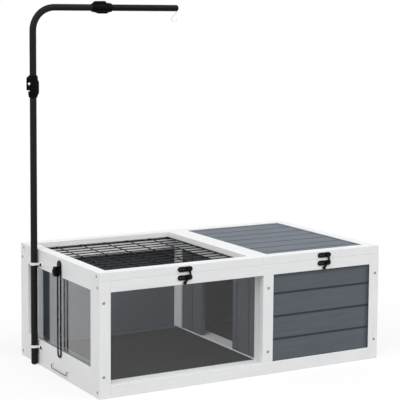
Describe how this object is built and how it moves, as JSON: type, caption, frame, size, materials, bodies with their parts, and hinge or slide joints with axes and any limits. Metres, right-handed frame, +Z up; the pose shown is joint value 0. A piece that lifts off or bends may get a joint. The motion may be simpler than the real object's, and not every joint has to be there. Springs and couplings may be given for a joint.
{
  "type": "tortoise table",
  "caption": "Low timber tortoise house with a window room, a boarded room, two hinged lids and a telescopic lamp stand clipped to its side.",
  "frame": {"origin": "middle of the underside of the front base rail", "axes": "+X along the front to the right, +Y to the back, +Z up"},
  "size_m": [0.92, 0.5359, 1.0246],
  "materials": {
    "white_timber": "satin white paint",
    "grey_boards": "satin slate grey paint",
    "floor_felt": "matt charcoal lining",
    "clear_acrylic": "clear",
    "black_metal": "satin black powder coat",
    "black_plastic": "fine texture",
    "white_plastic": "smooth",
    "galvanised_wire": "zinc plated"
  },
  "bodies": {
    "cabinet": {"back_planks": "grey_boards", "base_rail_back": "white_timber", "base_rail_front": "white_timber", "base_rail_left": "white_timber", "base_rail_right": "white_timber", "cross_rail": "white_timber", "floor_board": "floor_felt", "front_pane": "clear_acrylic", "front_planks": "grey_boards", "left_hinge_1_body_leaf": "black_metal", "left_hinge_2_body_leaf": "black_metal", "left_latch_base": "black_metal", "left_pane": "clear_acrylic", "partition_boards": "grey_boards", "partition_threshold": "white_timber", "pole_clip_low": "white_plastic", "pole_clip_top": "white_plastic", "post_back_centre": "white_timber", "post_back_left": "white_timber", "post_back_right": "white_timber", "post_front_centre": "white_timber", "post_front_left": "white_timber", "post_front_right": "white_timber", "right_hinge_1_body_leaf": "black_metal", "right_hinge_2_body_leaf": "black_metal", "right_latch_base": "black_metal", "right_planks": "grey_boards", "top_rail_back": "white_timber", "top_rail_front": "white_timber", "top_rail_left": "white_timber", "top_rail_right": "white_timber", "window_rail_left": "white_timber"},
    "left_lid": {"left_hinge_1_lid_leaf": "black_metal", "left_hinge_2_lid_leaf": "black_metal", "left_latch_keeper": "black_metal", "left_lid_rail_back": "white_timber", "left_lid_rail_front": "white_timber", "left_lid_stile_left": "white_timber", "left_lid_stile_right": "white_timber", "wire_grid": "black_metal"},
    "right_lid": {"right_hinge_1_lid_leaf": "black_metal", "right_hinge_2_lid_leaf": "black_metal", "right_latch_keeper": "black_metal", "right_lid_rail_back": "white_timber", "right_lid_rail_front": "white_timber", "right_lid_stile_left": "white_timber", "right_lid_stile_right": "white_timber", "roof_planks": "grey_boards"},
    "stay": {"stay": "black_metal"},
    "stay_knob": {"stay_knob": "black_plastic"},
    "left_hook": {"left_latch_hook": "black_metal"},
    "right_hook": {"right_latch_hook": "black_metal"},
    "lower_pole": {"lower_pole": "black_metal", "clamp_a": "black_plastic"},
    "lever_a": {"lever_a": "black_plastic"},
    "bent_pole": {"bent_pole": "black_metal", "clamp_b": "black_plastic"},
    "lever_b": {"lever_b": "black_plastic"},
    "arm": {"arm_tube": "black_metal"},
    "lamp_hook": {"lamp_hook": "galvanised_wire"}
  },
  "joints": [
    {"name": "left_lid_hinge", "type": "hinge", "parent": "cabinet", "child": "left_lid", "pos_m": [-0.197, 0.5023, 0.30815], "axis": [-1, 0, 0], "range_deg": [0, 48]},
    {"name": "right_lid_hinge", "type": "hinge", "parent": "cabinet", "child": "right_lid", "pos_m": [0.2485, 0.5023, 0.30815], "axis": [-1, 0, 0], "range_deg": [0, 48]},
    {"name": "stay_pivot", "type": "hinge", "parent": "left_lid", "child": "stay", "pos_m": [-0.445, 0.224, 0.31145], "axis": [-1, 0, 0], "range_deg": [-26, 0]},
    {"name": "knob_turn", "type": "hinge", "parent": "cabinet", "child": "stay_knob", "pos_m": [-0.456, 0.224, 0.2937], "axis": [-1, 0, 0], "continuous": true},
    {"name": "left_latch_turn", "type": "hinge", "parent": "cabinet", "child": "left_hook", "pos_m": [-0.184, -0.0274, 0.29695], "axis": [0, 1, 0], "range_deg": [0, 80]},
    {"name": "right_latch_turn", "type": "hinge", "parent": "cabinet", "child": "right_hook", "pos_m": [0.264, -0.0274, 0.29695], "axis": [0, 1, 0], "range_deg": [0, 80]},
    {"name": "pole_turn", "type": "hinge", "parent": "cabinet", "child": "lower_pole", "pos_m": [-0.456, 0.377, 0.4], "axis": [0, 0, 1], "range_deg": [-90, 90]},
    {"name": "lever_a_flip", "type": "hinge", "parent": "lower_pole", "child": "lever_a", "pos_m": [-0.47165, 0.37376, 0.7873], "axis": [0, 0, -1], "range_deg": [0, 110]},
    {"name": "pole_slide", "type": "slide", "parent": "lower_pole", "child": "bent_pole", "axis": [0, 0, 1], "range_m": [0, 0.2]},
    {"name": "lever_b_flip", "type": "hinge", "parent": "bent_pole", "child": "lever_b", "pos_m": [-0.246, 0.38024, 1.02125], "axis": [1, 0, 0], "range_deg": [0, 110]},
    {"name": "arm_slide", "type": "slide", "parent": "bent_pole", "child": "arm", "axis": [1, 0, 0], "range_m": [0, 0.1]},
    {"name": "hook_swivel", "type": "hinge", "parent": "arm", "child": "lamp_hook", "pos_m": [-0.004, 0.377, 0.99], "axis": [0, 0, 1], "continuous": true}
  ],
  "couplings": [
    {"joint": "stay_pivot", "follows": "left_lid_hinge", "ratio": -0.534}
  ]
}
